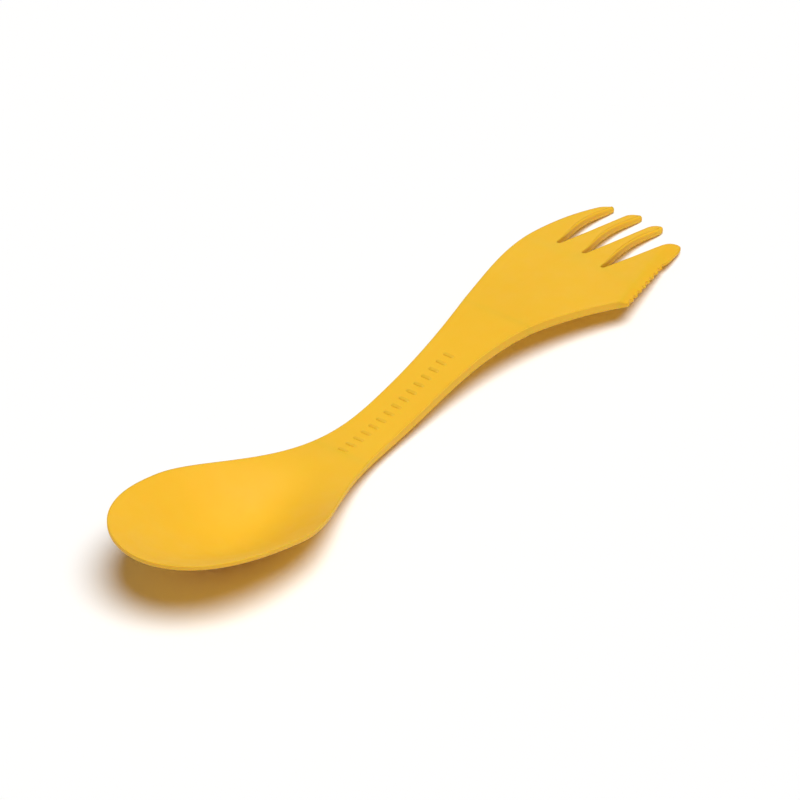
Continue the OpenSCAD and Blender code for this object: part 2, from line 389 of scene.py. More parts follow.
    def rounded(self, share: np.ndarray) -> np.ndarray:
        """A rise from 0 to 1 as a hyperbola's, round at its start and nearly straight after it."""
        start = self.bowl_roundness
        return (np.hypot(share, start) - start) / (np.hypot(1, start) - start)

    def floor_height(self, u: np.ndarray) -> np.ndarray:
        """Height of the hollow's floor on the centre line: the rounded rise from its lowest place to
        the bowl's tip, and a swell from there to the end of the hollow.

        Args:
            u: places along the part.

        Returns:
            The height at each place.
        """
        front = mix(self.bowl_wall, self.tip_height, self.rounded(part_way(u, self.bowl_low, 0)))
        back = mix(self.bowl_wall, self.side_height(u),
                   swell(part_way(u, self.bowl_low, self.bowl_end), self.hollow_end_power))
        return np.select([u < self.bowl_low, u < self.bowl_end], [front, back], self.side_height(u))

    def across_share(self, u: np.ndarray, v: np.ndarray) -> np.ndarray:
        """0 on the centre line and 1 at the outline."""
        half = np.where(v > 0, self.plain_side(u), -self.cutting_side(u))
        return np.clip(np.abs(v) / np.maximum(half, CLOSE), 0, 1)

    def bevel_drop(self, u: np.ndarray, v: np.ndarray) -> np.ndarray:
        """How far the bevel takes the top down: a straight slope past its inner edge, which fades
        out towards the crest.

        Args:
            u: places along the part.
            v: places across it.

        Returns:
            The drop at each place.
        """
        slope = (self.corner_out - self.bevel_in) / (self.notch_at - self.corner_at)
        past = (self.bevel_line(u) - v) / np.hypot(1, slope)
        width = mix(self.bevel_start_width, self.bevel_width, part_way(u, self.corner_at, self.notch_at))
        depth = np.clip(soft_positive(past, self.crease) / width, 0, 1)
        fade = part_way(u, self.crest_at, self.corner_at) ** self.bevel_fade_power
        return (self.body_thickness(u) - self.edge_thickness) * depth * fade

    def bevel_painted_shade(self, u: np.ndarray, v: np.ndarray) -> np.ndarray:
        """Share of the bevel's painted shade: 1 on the bevel and 0 off it, with a short rise past the bevel's
        inner edge.
        """
        full = self.body_thickness(u) - self.edge_thickness
        return np.clip(self.bevel_shade_rise * self.bevel_drop(u, v) / full, 0, 1)

    def top(self, u: np.ndarray, v: np.ndarray) -> np.ndarray:
        """Height of the upper surface: the edge's height less the dish and the bevel.

        Args:
            u: places along the part.
            v: places across it.

        Returns:
            The height at each place.
        """
        share = self.across_share(u, v)
        dish = np.clip(self.side_height(u) - self.floor_height(u), 0, None)
        return self.side_height(u) - dish * (1 - self.rounded(share)) - self.bevel_drop(u, v)

    def under(self, u: np.ndarray, v: np.ndarray) -> np.ndarray:
        """Height of the lower surface: the upper one's without its bevel, less a thickness that goes
        from the body's to the edge's by a power of the share across.

        Args:
            u: places along the part.
            v: places across it.

        Returns:
            The height at each place.
        """
        share = self.across_share(u, v) ** self.wall_power
        thick = mix(self.body_thickness(u), self.side_thickness(u), share)
        return self.top(u, v) + self.bevel_drop(u, v) - thick


@dataclass(frozen=True)
class Rounding:
    """How an edge is rounded, as quarter ellipses: insets across it and drops down it, in mm."""

    top_inset: float
    top_drop: float
    low_inset: float
    low_rise: float

    def row(self) -> np.ndarray:
        """The four sizes as an array."""
        return np.array([self.top_inset, self.top_drop, self.low_inset, self.low_rise])


RIM = Rounding(0.2, 0.2, 0.35, 0.3)
BAR = Rounding(0.2, 0.2, 0.35, 0.35)
PLATE = Rounding(0.2, 0.2, 0.3, 0.3)
SLOT_ROOT = Rounding(0.15, 0.2, 0.2, 0.25)
TINE = Rounding(0.4, 0.5, 0.3, 0.35)
NOSE = Rounding(0.5, 0.6, 0.4, 0.4)
EDGE = Rounding(0.1, 0.12, 0.1, 0.12)
LOBE = Rounding(0.16, 0.19, 0.16, 0.19)
CLOSED, AT_ROOT = -1, -2


class Piece(Enum):
    """The pieces of the skin, by number."""

    BOWL = 0
    HANDLE = 1
    PLATE = 2
    OUTER_TINE = 3
    LEFT_TINE = 4
    RIGHT_TINE = 5
    CUTTING_TINE = 6
    EDGE = 7


NODE_OF = {
    Piece.BOWL: "spoon_bowl",
    Piece.HANDLE: "handle",
    Piece.PLATE: "fork_plate",
    Piece.OUTER_TINE: "outer_tine",
    Piece.LEFT_TINE: "left_middle_tine",
    Piece.RIGHT_TINE: "right_middle_tine",
    Piece.CUTTING_TINE: "cutting_tine",
    Piece.EDGE: "cutting_edge",
}


@dataclass
class Loop:
    """The outline's points in the order in which they are added."""

    points: list[np.ndarray] = field(default_factory=list)
    sizes: list[np.ndarray] = field(default_factory=list)
    lanes: list[np.ndarray] = field(default_factory=list)
    count: int = 0

    def add(self, u: np.ndarray, v: np.ndarray, sizes: np.ndarray, lane: int) -> np.ndarray:
        """Adds points.

        Args:
            u: places along the part.
            v: places across it.
            sizes: the rounding's four sizes at each point.
            lane: the lane that the outline goes along from here.

        Returns:
            The points' places in the loop.
        """
        self.points.append(np.column_stack([u, v]))
        self.sizes.append(sizes)
        self.lanes.append(np.full(len(u), lane))
        self.count += len(u)
        return np.arange(self.count - len(u), self.count)


@dataclass
class Outline:
    """The closed outline of the whole part, and the rounded band that runs along it.

    Lanes 0 to 3 lead to the four tines from the plain side. Lane 4 is the strip along the
    cutting side.
    """

    form: SporkForm
    body_us: np.ndarray
    shared_us: np.ndarray
    tine_us: list[np.ndarray]
    profile_steps: int = 6
    plain: np.ndarray = field(init=False)
    cutting: np.ndarray = field(init=False)
    left: list[np.ndarray] = field(init=False)
    right: list[np.ndarray] = field(init=False)
    points: np.ndarray = field(init=False)
    sizes: np.ndarray = field(init=False)
    lanes: np.ndarray = field(init=False)
    bands: np.ndarray = field(init=False)

    def __post_init__(self) -> None:
        """Lays out the loop, clockwise from the bowl's tip."""
        form, loop = self.form, Loop()
        rows = self.body_us[1:]
        zero = np.zeros(1)
        tip = loop.add(zero, zero, self.side_sizes(zero, zero), 0)
        walk = np.concatenate([rows, self.stations(0)])
        outer = np.concatenate([form.plain_side(rows), form.tine_side(0, Side.LEFT, self.stations(0))])
        first = loop.add(walk, outer, self.tine_sizes(0, walk), 0)
        self.plain = np.concatenate([tip, first[:len(rows)]])
        self.left = [first[len(rows):]]
        self.right = []
        for slot in range(3):
            before = self.slot_walk(loop, slot, Side.RIGHT)
            root = loop.add(np.array([form.slot_apex(slot)]), np.array([form.slot_v(slot)]),
                            SLOT_ROOT.row()[None], slot + 1)
            after = self.slot_walk(loop, slot, Side.LEFT)
            before[-1] = self.left[slot][-1]
            self.right.append(np.where(before == AT_ROOT, root, before))
            self.left.append(np.where(after == AT_ROOT, root, after))
        own = self.stations(3)[:-1]
        back = np.concatenate([rows, own])[::-1]
        line = np.concatenate([form.cutting_side(rows), form.tine_side(3, Side.RIGHT, own)])[::-1]
        last = loop.add(back, line, self.tine_sizes(3, back), 4)[::-1]
        self.cutting = np.concatenate([tip, last[:len(rows)]])
        self.right.append(np.append(last[len(rows):], self.left[3][-1]))
        self.points = np.concatenate(loop.points)
        self.sizes = np.concatenate(loop.sizes)
        self.lanes = np.concatenate(loop.lanes)
        self.bands = self.band()

    def stations(self, tine: int) -> np.ndarray:
        """The rows that a tine has, those that it shares with the others first."""
        return np.concatenate([self.shared_us, self.tine_us[tine]])

    def slot_walk(self, loop: Loop, slot: int, side: Side) -> np.ndarray:
        """Adds one edge of a slot to the loop.

        Args:
            loop: the outline so far.
            slot: 0 to 2 from the plain side.
            side: RIGHT for the edge of the tine before it, walked backwards, or LEFT for the next.

        Returns:
            For each of the tine's rows its place in the loop, CLOSED before the slot starts and
            AT_ROOT at its start.
        """
        tine = slot if side is Side.RIGHT else slot + 1
        us = self.stations(tine)
        start = self.form.slot_start(slot)
        places = np.where(np.isclose(us, start), AT_ROOT, CLOSED)
        found = np.flatnonzero(us > start + CLOSE)
        if side is Side.RIGHT:
            found = found[-2::-1]
        sizes = self.tine_sizes(tine, us[found], self.form.slot_apex(slot))
        places[found] = loop.add(us[found], self.form.tine_side(tine, side, us[found]), sizes, tine)
        return places

    def side_sizes(self, u: np.ndarray, edge_share: np.ndarray) -> np.ndarray:
        """The rounding along the body's sides.

        Args:
            u: places along the part.
            edge_share: the cutting edge's share in each.

        Returns:
            Four sizes for each place.
        """
        form = self.form
        to_bar = swell(part_way(u, form.bowl_widest, form.neck_at))[:, None]
        to_plate = swell(part_way(u, form.waist_at, form.corner_at))[:, None]
        body = mix(mix(RIM.row(), BAR.row(), to_bar), PLATE.row(), to_plate)
        return mix(body, EDGE.row(), edge_share[:, None])

    def tine_sizes(self, tine: int, u: np.ndarray, apex: float | None = None) -> np.ndarray:
        """The rounding along a tine's side: from its root, or the body's, to its nose.

        Args:
            tine: 0 to 3 from the plain side.
            u: places along the part.
            apex: where the slot beside it starts, or None on the outer sides.

        Returns:
            Four sizes for each place.
        """
        form = self.form
        tip = form.tip_at(tine)
        to_nose = swell(part_way(u, tip - form.nose_lengths[tine], tip))[:, None]
        from_root = swell((u - (apex or form.root_at)) / form.tine_rounding_length)[:, None]
        if apex is not None:
            side = mix(SLOT_ROOT.row(), TINE.row(), from_root)
        elif tine == 0:
            side = mix(self.side_sizes(u, np.zeros(len(u))), TINE.row(), from_root)
        else:
            fade = part_way(u, form.corner_at - form.edge_fade, form.corner_at + form.edge_fade)
            side = self.side_sizes(u, swell(fade))
        return mix(side, LOBE.row() if tine == 3 else NOSE.row(), to_nose)

    def normals(self) -> np.ndarray:
        """Unit vectors into the material: the sum of the two neighbouring steps, turned right."""
        ahead = unit(np.roll(self.points, -1, axis=0) - self.points)
        along = unit(ahead + np.roll(ahead, 1, axis=0))
        return np.column_stack([along[:, 1], -along[:, 0]])

    def band(self) -> np.ndarray:
        """The band's points, from the upper sheet's edge over the side to the lower sheet's: a
        quarter ellipse, one point half-way down, and another quarter ellipse.

        Returns:
            An array of loop places, profile places and x, y, z in millimetres.
        """
        turn = np.radians(np.linspace(0, 90, self.profile_steps + 1))
        reach, fall = 1 - np.sin(turn), 1 - np.cos(turn)
        top_in, top_drop, low_in, low_rise = (self.sizes[:, i:i + 1] for i in range(4))
        inward = self.normals()

        def ring(inset: np.ndarray) -> tuple[np.ndarray, np.ndarray]:
            """The places at an inset from the outline."""
            return (self.points[:, :1] + inset * inward[:, :1], self.points[:, 1:] + inset * inward[:, 1:])

        u_top, v_top = ring(top_in * reach)
        z_top = self.form.top(u_top, v_top) - top_drop * fall
        u_low, v_low = ring(low_in * reach[::-1])
        z_low = self.form.under(u_low, v_low) + low_rise * fall[::-1]
        z_wall = (z_top[:, -1:] + z_low[:, :1]) / 2
        wall = np.stack([self.points[:, :1], self.points[:, 1:], z_wall], axis=2)
        return np.concatenate([np.stack([u_top, v_top, z_top], axis=2), wall,
                               np.stack([u_low, v_low, z_low], axis=2)], axis=1)


@dataclass
class Skin:
    """The whole surface: the outline's band and the sheets above and below, cut into pieces.

    Each upper point has a partner below. Where a piece is cut from its neighbour, faces between
    the cut's points and their partners close it.
    """

    form: SporkForm
    columns: tuple[int, ...] = (12, 12, 12, 14, 8)
    bevel_crowding: float = 1.7
    bevel_margin: float = 0.3
    margin_share: float = 0.15
    row_step: float = 1.0
    tine_step: float = 0.6
    lobe_step: float = 0.4
    corner_step: float = 0.25
    root_first_turn: float = 15.0
    front_rows: int = 44
    tooth_rows: int = 12
    root_rows: int = 6
    nose_rows: int = 12
    outline: Outline = field(init=False)
    points: np.ndarray = field(init=False)
    partner: np.ndarray = field(init=False)
    faces: list[np.ndarray] = field(default_factory=list)
    pieces: list[np.ndarray] = field(default_factory=list)

    def __post_init__(self) -> None:
        """Lays out the rows, the outline, the lanes and the band."""
        form = self.form
        self.outline = Outline(form, *self.stations())
        loops, steps = self.outline.bands.shape[:2]
        self.points = self.outline.bands.reshape(-1, 3)
        self.partner = np.arange(loops * steps).reshape(loops, steps)[:, ::-1].ravel()
        self.fill()
        self.wrap(np.arange(loops * steps).reshape(loops, steps))

    def stations(self) -> tuple[np.ndarray, np.ndarray, list[np.ndarray]]:
        """The places of the rows along u.

        Returns:
            Those of the body, those that all the tines share, and each tine's own.
        """
        form = self.form
        front = form.bowl_widest * (1 - np.cos(np.radians(np.linspace(0, 90, self.front_rows))))
        tooth = np.linspace(form.teeth_start, form.teeth_end, form.teeth * self.tooth_rows + 1)
        turn = np.radians(np.linspace(self.root_first_turn, 90, self.root_rows))
        circle = form.slot_width / 2 * (1 - np.cos(turn))
        late, early = form.slot_apex(0), form.slot_apex(2)
        split = late + form.slot_width
        body = [front, self.between(form.bowl_widest, form.bowl_end, self.row_step),
                self.between(form.bowl_end, form.crest_at, self.row_step),
                self.between(form.crest_at, form.corner_at, self.row_step),
                self.between(form.corner_at, form.teeth_start, self.corner_step),
                tooth[tooth < form.root_at]]
        shared = [[form.root_at, form.slot_start(0), split], early + circle, late + circle,
                  tooth[(tooth > early) & (tooth < form.slot_start(0))],
                  tooth[(tooth > late) & (tooth < split)]]
        own = []
        for tine in range(4):
            nose = form.nose_lengths[tine]
            nose_at = form.tip_at(tine) - nose
            rounded = nose_at + nose * np.sin(np.radians(np.linspace(0, 90, self.nose_rows + 1)))
            if tine == 3:
                plain = [tooth[tooth > split], self.between(form.teeth_end, nose_at, self.lobe_step)]
            else:
                plain = [self.between(split, nose_at, self.tine_step)[1:]]
            own.append(self.merged([*plain, rounded]))
        return self.merged(body), self.merged(shared), own

    @staticmethod
    def merged(parts: list) -> np.ndarray:
        """The rows of several lists in order, without those that all but repeat the one before."""
        every = np.unique(np.round(np.concatenate(parts), DECIMALS))
        return every[np.append(True, np.diff(every) > LEAST_GAP)]

    @staticmethod
    def between(start: float, end: float, step: float) -> np.ndarray:
        """Even rows from start to end, at most a step apart."""
        return np.linspace(start, end, int(np.ceil((end - start) / step)) + 1)

    def piece_at(self, lane: np.ndarray, u: np.ndarray) -> np.ndarray:
        """Which piece each place belongs to.

        Args:
            lane: the lane of each place.
            u: each place along the part.

        Returns:
            The pieces' numbers.
        """
        form = self.form
        outer = lane == 4
        body_end = np.where(outer, form.corner_at, form.root_at)
        edge_or_tip = np.where(u < form.teeth_end, Piece.EDGE.value, Piece.CUTTING_TINE.value)
        tine = np.where(outer, edge_or_tip, Piece.OUTER_TINE.value + np.minimum(lane, 3))
        return np.select([u < form.bowl_end, u < form.crest_at, u < body_end],
                         [Piece.BOWL.value, Piece.HANDLE.value, Piece.PLATE.value], tine)

    def add_pairs(self, upper: np.ndarray, lower: np.ndarray) -> np.ndarray:
        """Adds points of the two sheets in pairs.

        Args:
            upper: x, y, z of the upper points.
            lower: the same of their partners.

        Returns:
            The upper points' places.
        """
        start, count = len(self.points), len(upper)
        self.points = np.concatenate([self.points, upper, lower])
        self.partner = np.concatenate([self.partner, np.arange(start + count, start + 2 * count),
                                       np.arange(start, start + count)])
        return np.arange(start, start + count)

    def inside(self, flat: np.ndarray, lower_flat: np.ndarray | None = None) -> np.ndarray:
        """Adds pairs of points of the two sheets at given u and v.

        Args:
            flat: u and v of the upper points.
            lower_flat: the same of the lower ones, where they differ.

        Returns:
            The upper points' places.
        """
        low = flat if lower_flat is None else lower_flat
        upper = np.column_stack([flat, self.form.top(flat[:, 0], flat[:, 1])])
        lower = np.column_stack([low, self.form.under(low[:, 0], low[:, 1])])
        return self.add_pairs(upper, lower)

    def fill(self) -> None:
        """Fills the five lanes with rows of points.

        The lines between lanes lie at even shares of the width up to the crest, and swell from
        there to the slots' places at the tines' roots.
        """
        form, outline = self.form, self.outline
        steps = outline.bands.shape[1]
        us = np.concatenate([outline.body_us, outline.shared_us])
        body, shared = len(outline.body_us), len(outline.shared_us)
        left = np.concatenate([outline.plain, outline.left[0][:shared]]) * steps
        right = np.concatenate([outline.cutting, outline.right[3][:shared]]) * steps
        even = np.cumsum(self.columns) / sum(self.columns)
        to_root = swell(part_way(us, form.crest_at, form.root_at))
        gaps = []
        for slot in range(3):
            at = self.points[left][:, :2] + even[slot] * (self.points[right] - self.points[left])[:, :2]
            at[:, 1] = mix(at[:, 1], form.slot_v(slot), to_root)
            at[body:, 0] = us[body:]
            gaps.append(np.append(left[:1], self.inside(at[1:])))
        starts = [left, *gaps]
        ends = [*gaps, right]
        for tine in range(4):
            first = outline.left[tine] * steps
            last = outline.right[tine] * steps
            begin = np.concatenate([starts[tine][:body], first])
            end = np.concatenate([ends[tine][:body], last])
            begin[body:body + shared] = np.where(first[:shared] < 0, starts[tine][body:], first[:shared])
            end[body:body + shared] = np.where(last[:shared] < 0, ends[tine][body:], last[:shared])
            rows = np.concatenate([outline.body_us, outline.stations(tine)])
            if tine < 3:
                self.lane(begin, end, rows, tine, np.linspace(0, 1, self.columns[tine] + 1))
                continue
            crease = self.bevel_places(begin, end, rows, left, even[3])
            crowded = 1 - (1 - np.linspace(0, 1, self.columns[3] + 1)) ** self.bevel_crowding
            self.lane(begin, crease, rows, 3, crowded)
            self.lane(crease, end, rows, 4, np.linspace(0, 1, self.columns[4] + 1))

    def bevel_places(self, begin: np.ndarray, end: np.ndarray, rows: np.ndarray, left: np.ndarray,
                     share: float) -> np.ndarray:
        """Adds the line between lanes 3 and 4: an even share of the width up to the crest, and the
        bevel's inner edge from the corner on, kept a margin inside the lanes' other sides.

        Args:
            begin: places along lane 3's inner side.
            end: places along the cutting side.
            rows: the u of each row.
            left: places along the plain side, for the body's rows.
            share: the even share.

        Returns:
            The line's places, with the two tips' own at its ends.
        """
        form = self.form
        a, b = self.points[begin][:, :2], self.points[end][:, :2]
        whole = self.points[np.append(left, begin[len(left):])][:, :2]
        width = a[:, 1] - b[:, 1]
        margin = np.minimum(self.bevel_margin, self.margin_share * width)
        line = np.clip(form.bevel_line(rows), b[:, 1] + margin, a[:, 1] - margin)
        to_corner = swell(part_way(rows, form.crest_at, form.corner_at))
        v = mix(mix(whole[:, 1], b[:, 1], share), line, to_corner)
        along = np.clip((a[:, 1] - v) / np.maximum(width, TINY), 0, 1)
        u = mix(a[:, 0], b[:, 0], along)
        inner = self.inside(np.column_stack([u, v])[1:-1])
        return np.concatenate([begin[:1], inner, begin[-1:]])

    def lane(self, starts: np.ndarray, ends: np.ndarray, rows: np.ndarray, lane: int,
             shares: np.ndarray) -> None:
        """Fills one lane: in each row the points between its two sides stand at given shares.

        Args:
            starts: the upper places on one side, one to a row.
            ends: the same on the other side.
            rows: the u of each row.
            lane: the lane's number.
            shares: from 0 to 1 across the lane.
        """
        part = shares[None, 1:-1, None]
        upper = mix(self.points[starts][:, None, :2], self.points[ends][:, None, :2], part)
        lower = mix(self.points[self.partner[starts]][:, None, :2],
                    self.points[self.partner[ends]][:, None, :2], part)
        inner = self.inside(upper.reshape(-1, 2), lower.reshape(-1, 2)).reshape(len(rows), -1)
        grid = np.column_stack([starts, inner, ends])
        grid[starts == ends] = starts[starts == ends][:, None]
        piece = self.piece_at(np.full(len(rows) - 1, lane), (rows[1:] + rows[:-1]) / 2)
        corners = grid_triangles(grid)
        owners = np.tile(np.repeat(piece, len(shares) - 1), 2)
        self.faces += [corners[:, ::-1], self.partner[corners]]
        self.pieces += [owners, owners]

    def wrap(self, grid: np.ndarray) -> None:
        """Adds the band's faces all round the loop.

        Args:
            grid: the band's point places, a row to each place in the loop.
        """
        closed = np.concatenate([grid, grid[:1]])
        u = self.outline.points[:, 0]
        piece = self.piece_at(self.outline.lanes, (u + np.roll(u, -1)) / 2)
        corners = grid_triangles(closed)
        self.faces.append(corners[:, ::-1])
        self.pieces.append(np.tile(np.repeat(piece, grid.shape[1] - 1), 2))

    def finished(self) -> tuple[np.ndarray, np.ndarray, np.ndarray]:
        """The faces without the empty ones, their pieces, and the whole surface's normals.

        Returns:
            Three point places to a face, a piece number to a face, and a unit vector to a point.
        """
        faces, owners = np.concatenate(self.faces), np.concatenate(self.pieces)
        real = has_three_corners(faces)
        faces, owners = faces[real], owners[real]
        area = face_areas(self.points, faces)
        total = np.zeros_like(self.points)
        for corner in range(3):
            np.add.at(total, faces[:, corner], area)
        return faces, owners, unit(total)

    def closing(self, faces: np.ndarray) -> np.ndarray:
        """The faces that close a piece: one pair from each edge that only one of its faces has, on
        the upper half, to that edge's partners.

        Args:
            faces: the piece's outer faces.

        Returns:
            The closing faces.
        """
        edges = np.concatenate([faces[:, [0, 1]], faces[:, [1, 2]], faces[:, [2, 0]]])
        key = np.sort(edges, axis=1)
        _, first, count = np.unique(key, axis=0, return_index=True, return_counts=True)
        open_edges = edges[first[count == 1]]
        upper = self.is_upper()
        open_edges = open_edges[upper[open_edges].all(axis=1)]
        a, b = open_edges[:, 0], open_edges[:, 1]
        c, d = self.partner[a], self.partner[b]
        walls = np.concatenate([np.column_stack([b, a, c]), np.column_stack([b, c, d])])
        return walls[has_three_corners(walls)]

    def is_upper(self) -> np.ndarray:
        """Which points are in the upper half.

        Returns:
            True for its points, with the band's middle ones.
        """
        loops, steps = self.outline.bands.shape[:2]
        upper = self.partner >= np.arange(len(self.points))
        upper[:loops * steps] = np.tile(np.arange(steps) <= steps // 2, loops)
        return upper


def grid_triangles(grid: np.ndarray) -> np.ndarray:
    """Two triangles to a cell of a grid of point places, all the first ones before the second."""
    a, b, c, d = (part.ravel() for part in (grid[:-1, :-1], grid[:-1, 1:], grid[1:, 1:], grid[1:, :-1]))
    return np.concatenate([np.column_stack([a, b, c]), np.column_stack([a, c, d])])


def has_three_corners(faces: np.ndarray) -> np.ndarray:
    """True for the triangles whose three corners are different points."""
    a, b, c = faces.T
    return (a != b) & (b != c) & (a != c)


def face_areas(points: np.ndarray, faces: np.ndarray) -> np.ndarray:
    """A vector along each triangle's normal, as long as twice its area."""
    a, b, c = (points[faces[:, k]] for k in range(3))
    return np.cross(b - a, c - a)


def new_object(name: str, points: np.ndarray, faces: np.ndarray,
               material: bpy.types.Material) -> bpy.types.Object:
    """Makes an object from whole arrays.

    Args:
        name: the object's name.
        points: x, y, z in metres.
        faces: three point places for each triangle.
        material: its finish.

    Returns:
        The object, at the origin and shaded smooth.
    """
    mesh = bpy.data.meshes.new(name)
    mesh.vertices.add(len(points))
    mesh.vertices.foreach_set("co", points.astype(np.float32).ravel())
    mesh.loops.add(faces.size)
    mesh.loops.foreach_set("vertex_index", faces.astype(np.int32).ravel())
    mesh.polygons.add(len(faces))
    mesh.polygons.foreach_set("loop_start", np.arange(0, faces.size, 3, dtype=np.int32))
    mesh.polygons.foreach_set("use_smooth", np.ones(len(faces), bool))
    mesh.update(calc_edges=True)
    mesh.materials.append(material)
    obj = bpy.data.objects.new(name, mesh)
    bpy.context.scene.collection.objects.link(obj)
    return obj


def install(obj: bpy.types.Object, node: str) -> None:
    """Puts an object in a CAD node's place, on the part's one body.

    Args:
        obj: the object.
        node: the node's name.
    """
    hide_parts(node)
    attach(obj, BODY)


class Nodes:
    """A few short ways to lay out a node tree."""

    USUAL_NOISE = (0.3, 0.7)

    def __init__(self, tree: bpy.types.NodeTree) -> None:
        """Starts with an empty tree."""
        self.tree = tree
        tree.nodes.clear()

    def add(self, kind: str, given: dict[str, object] | None = None,
            **settings: object) -> bpy.types.Node:
        """Adds a node.

        Args:
            kind: its type.
            given: values for its own sockets, by name.
            settings: its other settings, by name.

        Returns:
            The node.
        """
        node = self.tree.nodes.new(kind)
        for name, value in settings.items():
            setattr(node, name, value)
        for name, value in (given or {}).items():
            node.inputs[name].default_value = value
        return node

    def link(self, start: bpy.types.NodeSocket, end: bpy.types.NodeSocket) -> None:
        """Links two sockets."""
        self.tree.links.new(start, end)

    def noise(self, place: bpy.types.NodeSocket, scale: float, detail: float) -> bpy.types.NodeSocket:
        """Adds a noise pattern.

        Args:
            place: where it is read.
            scale: its waves to a metre.
            detail: its layers of finer noise.

        Returns:
            Its value's socket.
        """
        node = self.add("ShaderNodeTexNoise", {"Scale": scale, "Detail": detail})
        self.link(place, node.inputs["Vector"])
        return node.outputs["Fac"]

    def spread(self, value: bpy.types.NodeSocket, low: float, high: float) -> bpy.types.NodeSocket:
        """Takes a noise value's usual range to a new one.

        Args:
            value: the noise's socket.
            low: what the usual range's low end becomes.
            high: what its high end becomes.

        Returns:
            The new value's socket.
        """
        usual_low, usual_high = self.USUAL_NOISE
        node = self.add("ShaderNodeMapRange", {"From Min": usual_low, "From Max": usual_high,
                                               "To Min": low, "To Max": high}, clamp=True)
        self.link(value, node.inputs["Value"])
        return node.outputs["Result"]

    def choose(self, share: bpy.types.NodeSocket, first: bpy.types.NodeSocket,
               second: bpy.types.NodeSocket, output: str) -> None:
        """Joins two shaders and puts the result out.

        Args:
            share: the second shader's share.
            first: the shader at a share of 0.
            second: the shader at a share of 1.
            output: the type of the tree's output node.
        """
        choice = self.add("ShaderNodeMixShader")
        self.link(share, choice.inputs["Fac"])
        self.link(first, choice.inputs[1])
        self.link(second, choice.inputs[2])
        self.link(choice.outputs["Shader"], self.add(output).inputs["Surface"])


@dataclass(frozen=True)
class MouldedGrain:
    """What all the plastic shares: a faint cloudiness, uneven gloss and a fine grain."""

    cloud_scale: float = 45.0
    cloud_detail: float = 3.0
    gloss_scale: float = 260.0
    gloss_detail: float = 4.0
    grain_scale: float = 2600.0
    grain_detail: float = 2.0
    gloss_low: float = 0.52
    gloss_high: float = 0.64

    def build(self) -> bpy.types.NodeTree:
        """Makes the node group.

        Returns:
            A group that takes two tones and puts out a colour, a roughness and a height.
        """
        tree = bpy.data.node_groups.new("moulded_grain", "ShaderNodeTree")
        nodes = Nodes(tree)
        for name in ("Tone", "Deep Tone"):
            tree.interface.new_socket(name, in_out="INPUT", socket_type="NodeSocketColor")
        tree.interface.new_socket("Colour", in_out="OUTPUT", socket_type="NodeSocketColor")
        for name in ("Roughness", "Height"):
            tree.interface.new_socket(name, in_out="OUTPUT", socket_type="NodeSocketFloat")
        given, out = nodes.add("NodeGroupInput"), nodes.add("NodeGroupOutput")
        place = nodes.add("ShaderNodeTexCoord").outputs["Object"]
        cloud = nodes.spread(nodes.noise(place, self.cloud_scale, self.cloud_detail), 0.0, 1.0)
        blend = nodes.add("ShaderNodeMix", data_type="RGBA")
        nodes.link(cloud, blend.inputs["Factor"])
        nodes.link(given.outputs["Tone"], blend.inputs["A"])
        nodes.link(given.outputs["Deep Tone"], blend.inputs["B"])
        nodes.link(blend.outputs["Result"], out.inputs["Colour"])
        uneven = nodes.noise(place, self.gloss_scale, self.gloss_detail)
        nodes.link(nodes.spread(uneven, self.gloss_low, self.gloss_high), out.inputs["Roughness"])
        nodes.link(nodes.noise(place, self.grain_scale, self.grain_detail), out.inputs["Height"])
        return tree


@dataclass(frozen=True)
class MouldedPlastic:
    """Satin moulded plastic in two close tones, with painted shade in a deeper tone on the bevel.

    It lets a little tinted light through each wall.
    """

    name: str
    tone: tuple[float, float, float]
    deep_tone: tuple[float, float, float]
    # The deeper tone painted on the bevel as its shade.
    bevel_painted_shade: tuple[float, float, float]
    bump_strength: float = 0.25
    bump_distance: float = 0.00004
    scatter: float = 0.3
    scatter_reach: float = 0.002
    specular_level: float = 0.42
    let_through: tuple[float, float, float] = (0.28, 0.18, 0.01)

    def build(self, grain: bpy.types.NodeTree) -> bpy.types.Material:
        """Makes the material.

        Args:
            grain: the group that all the plastic shares.

        Returns:
            The material.
        """
        material = bpy.data.materials.new(self.name)
        material.use_nodes = True
        nodes = Nodes(material.node_tree)
        shader = nodes.add("ShaderNodeBsdfPrincipled", {
            "Subsurface Weight": self.scatter,
            "Subsurface Scale": self.scatter_reach,
            "Specular IOR Level": self.specular_level,
        })
        group = nodes.add("ShaderNodeGroup", node_tree=grain)
        group.inputs["Tone"].default_value = (*self.tone, 1)
        group.inputs["Deep Tone"].default_value = (*self.deep_tone, 1)
        bump = nodes.add("ShaderNodeBump", {"Strength": self.bump_strength, "Distance": self.bump_distance})
        nodes.link(group.outputs["Height"], bump.inputs["Height"])
        # The bevel's painted shade: a deeper tone mixed in by the bevel attribute's share.
        bevel_shaded = nodes.add("ShaderNodeMix", data_type="RGBA")
        bevel_shaded.inputs["B"].default_value = (*self.bevel_painted_shade, 1)
        bevel_shade_share = nodes.add("ShaderNodeAttribute", attribute_name=BEVEL_SHADE).outputs["Fac"]
        nodes.link(bevel_shade_share, bevel_shaded.inputs["Factor"])
        nodes.link(group.outputs["Colour"], bevel_shaded.inputs["A"])
        nodes.link(bevel_shaded.outputs["Result"], shader.inputs["Base Color"])
        nodes.link(group.outputs["Roughness"], shader.inputs["Roughness"])
        nodes.link(bump.outputs["Normal"], shader.inputs["Normal"])
        clear = nodes.add("ShaderNodeBsdfTransparent", {"Color": (*self.let_through, 1)})
        shadow = nodes.add("ShaderNodeLightPath").outputs["Is Shadow Ray"]
        nodes.choose(shadow, shader.outputs["BSDF"], clear.outputs["BSDF"], "ShaderNodeOutputMaterial")
        return material


